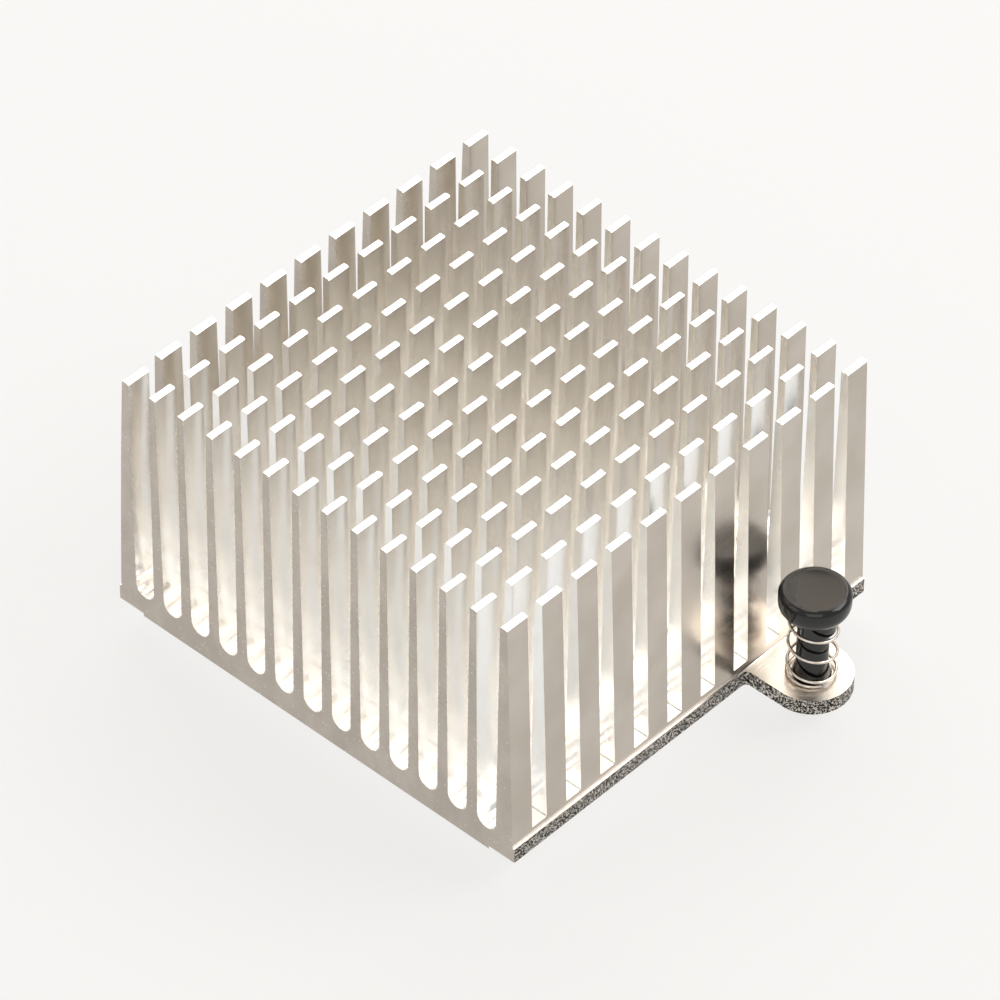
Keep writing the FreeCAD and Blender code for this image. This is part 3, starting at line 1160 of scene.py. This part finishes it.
@dataclass
class Studio:
    """Pale floor, soft lamps and the camera.

    Lengths are in metres, and in millimetres where they tell of the object or the lens. The
    floor's and the room's white is what the camera and the metal see of them.
    """

    floor_reach: float = 6.0
    floor_colour: str = "#f3f3f3"
    floor_roughness: float = 0.9
    floor_grain: float = 0.4
    floor_grain_depth: float = 0.002
    floor_white: float = 0.75
    white: str = "#fffefc"
    azimuth_deg: float = -47.4939
    elevation_deg: float = 43.1843
    roll_deg: float = 0.4694
    lens: float = 240.943
    sensor: float = 36.0
    aim: tuple[float, float, float] = (-0.913, -1.611, 12.7)
    distance: float = 545.81
    clip: tuple[float, float] = (0.01, 50.0)
    softboxes: tuple[Softbox, ...] = (
        Softbox("back left strip", 132.5, 45, (0.20, 0.50), 2.4, shift=(-0.195, 0)),
        Softbox("back middle strip", 132.5, 45, (0.12, 0.50), 2.4),
        Softbox("back right strip", 132.5, 45, (0.20, 0.50), 2.4, shift=(0.195, 0)),
        Softbox("front panel", -47.5, 43, (0.40, 0.30), 0.9),
        Softbox("right panel", 47.5, 43, (0.40, 0.30), 3.2),
        Softbox("left panel", -132.5, 43, (0.40, 0.30), 0.9),
    )
    room_colour: str = "#f5f3f0"
    room_glow: float = 0.25
    room_white: float = 0.7
    bounces: int = 96

    def back(self, azimuth_deg: float, elevation_deg: float) -> Vector:
        """Works out the direction from the object to a place round it.

        Args:
            azimuth_deg: Angle round the object, zero on the -Y side.
            elevation_deg: Angle above the floor.

        Returns:
            The direction.
        """
        a, e = math.radians(azimuth_deg), math.radians(elevation_deg)
        return Vector((math.sin(a) * math.cos(e), -math.cos(a) * math.cos(e), math.sin(e)))

    def camera(self) -> None:
        """Sets the camera up where the photograph was taken from."""
        back = self.back(self.azimuth_deg, self.elevation_deg)
        a, r = math.radians(self.azimuth_deg), math.radians(self.roll_deg)
        level = Vector((math.cos(a), math.sin(a), 0))
        upright = back.cross(level)
        right = level * math.cos(r) + upright * math.sin(r)
        up = upright * math.cos(r) - level * math.sin(r)
        data = bpy.data.cameras.new("camera")
        data.lens, data.sensor_width = self.lens, self.sensor
        data.clip_start, data.clip_end = self.clip
        camera = show("camera", data)
        turn = Matrix((right, up, back)).transposed().to_4x4()
        spot = (Vector(self.aim) + back * self.distance) * MM
        camera.matrix_world = Matrix.Translation(spot) @ turn
        bpy.context.scene.camera = camera

    def seen(self, tree: Tree) -> Socket:
        """Tells where the camera, metal or glass sees a surface.

        Args:
            tree: The tree of the material or the world.

        Returns:
            The socket, one where the surface is seen and zero where it only hands light on.
        """
        path = add(tree, "ShaderNodeLightPath").outputs
        first = {0: path["Is Camera Ray"], 1: path["Is Glossy Ray"]}
        either = add(tree, "ShaderNodeMath", first, operation="MAXIMUM").outputs[0]
        last = {0: either, 1: path["Is Transmission Ray"]}
        return add(tree, "ShaderNodeMath", last, operation="MAXIMUM").outputs[0]

    def floor(self, height: float) -> None:
        """Lays the floor under the object: matt paper that looks nearly white and keeps the shadow.

        Args:
            height: The floor's height, in metres.
        """
        shell = bmesh.new()
        bmesh.ops.create_grid(shell, x_segments=1, y_segments=1, size=self.floor_reach / 2)
        bmesh.ops.translate(shell, vec=(0, 0, height), verts=shell.verts)
        floor = show("floor", closed(shell, "floor"))
        material, tree, place = blank_material("matt paper")
        grain = Noise(self.floor_grain).value(tree, place)
        paper = add(tree, "ShaderNodeBsdfPrincipled", {
            "Base Color": linear(self.floor_colour),
            "Roughness": self.floor_roughness,
            "Normal": bent_normal(tree, [(grain, self.floor_grain_depth)]),
        })
        white = add(tree, "ShaderNodeEmission", {"Color": linear(self.white), "Strength": 1.0})
        factors = {0: self.seen(tree), 1: self.floor_white}
        share = add(tree, "ShaderNodeMath", factors, operation="MULTIPLY").outputs[0]
        mixed = add(tree, "ShaderNodeMixShader", {0: share, 1: paper.outputs[0], 2: white.outputs[0]})
        add(tree, "ShaderNodeOutputMaterial", {"Surface": mixed.outputs[0]})
        floor.data.materials.append(material)
        floor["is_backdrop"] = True

    def hang(self, box: Softbox) -> None:
        """Hangs a softbox that faces the object.

        Args:
            box: The softbox.
        """
        data = bpy.data.lights.new(box.name, "AREA")
        data.shape, data.size, data.size_y = "RECTANGLE", *box.size
        data.energy, data.color = box.glow * math.pi * box.size[0] * box.size[1], linear(box.colour)[:3]
        lamp = show(box.name, data)
        back = self.back(box.azimuth_deg, box.elevation_deg)
        turn = back.to_track_quat("Z", "Y").to_matrix()
        aside = turn @ Vector((*box.shift, 0))
        lamp.matrix_world = Matrix.Translation(back * box.distance + aside) @ turn.to_4x4()

    def light(self) -> None:
        """Sets the softboxes and the pale room up.

        Light that falls among the pins leaves them after dozens of mirrorings, so the ray
        tracer follows it that far.
        """
        for box in self.softboxes:
            self.hang(box)
        world = bpy.data.worlds.new("pale room")
        scene = bpy.context.scene
        scene.world = world
        world.use_nodes = True
        tree = world.node_tree
        tree.nodes.clear()
        levels = stretch(self.seen(tree), 0.0, 1.0, self.room_glow, self.room_white)
        strength = add(tree, "ShaderNodeMapRange", levels).outputs[0]
        shell = add(tree, "ShaderNodeBackground", {"Color": linear(self.room_colour), "Strength": strength})
        add(tree, "ShaderNodeOutputWorld", {0: shell.outputs[0]})
        scene.view_settings.view_transform = "Standard"
        scene.cycles.max_bounces = self.bounces
        scene.cycles.glossy_bounces = self.bounces


def box_lists() -> list[list[float]]:
    """The shown object's box as two plain lists."""
    return [list(corner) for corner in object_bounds()]


def main() -> None:
    """Loads the frame, makes each piece and sets the studio up."""
    logging.basicConfig(level=logging.INFO, format="%(name)s: %(message)s")
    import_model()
    cad_box = box_lists()
    for material in list(bpy.data.materials):
        bpy.data.materials.remove(material)

    FinnedBody(finishes={metal: finish.make() for metal, finish in METAL_FINISHES.items()}).build()
    nylon, wire = BLACK_NYLON.make(), SPRING_WIRE.make()
    for side in Side:
        PushPin(finish=nylon).build(side)
        CoilSpring(finish=wire).build(side)

    studio = Studio()
    studio.floor(cad_box[0][2])
    studio.light()
    studio.camera()


if __name__ == "__main__":
    main()
